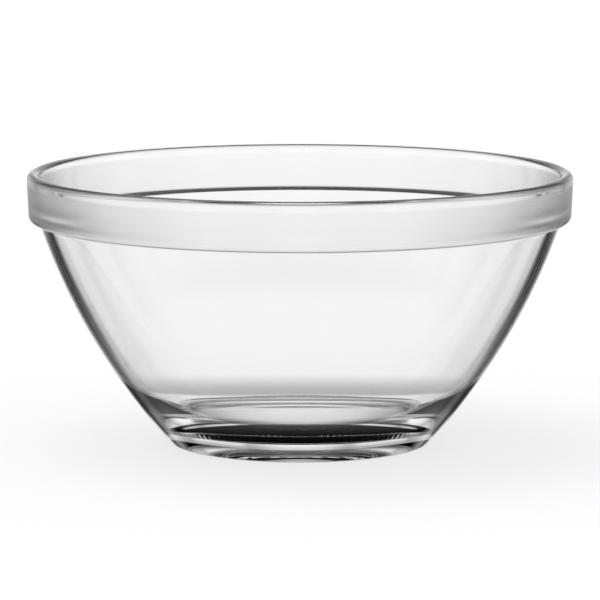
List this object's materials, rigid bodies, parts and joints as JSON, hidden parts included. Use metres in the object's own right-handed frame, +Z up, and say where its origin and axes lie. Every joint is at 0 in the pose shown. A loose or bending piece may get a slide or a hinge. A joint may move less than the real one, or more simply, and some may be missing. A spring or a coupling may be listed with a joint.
{
  "type": "salad bowl",
  "caption": "Round clear glass salad bowl with a rounded rim, an upright stacking band, a curved tapering wall and a thick floor on a flat standing ring.",
  "frame": {"origin": "centre of the foot, on the plane that the bowl stands on", "axes": "+Z up along the bowl's axis of revolution; the bowl is alike all round, so X and Y may be any two level directions"},
  "size_m": [0.23, 0.23, 0.115],
  "materials": {
    "glass": "clear, fire-polished"
  },
  "bodies": {
    "root": {"bowl": "glass"}
  },
  "joints": []
}
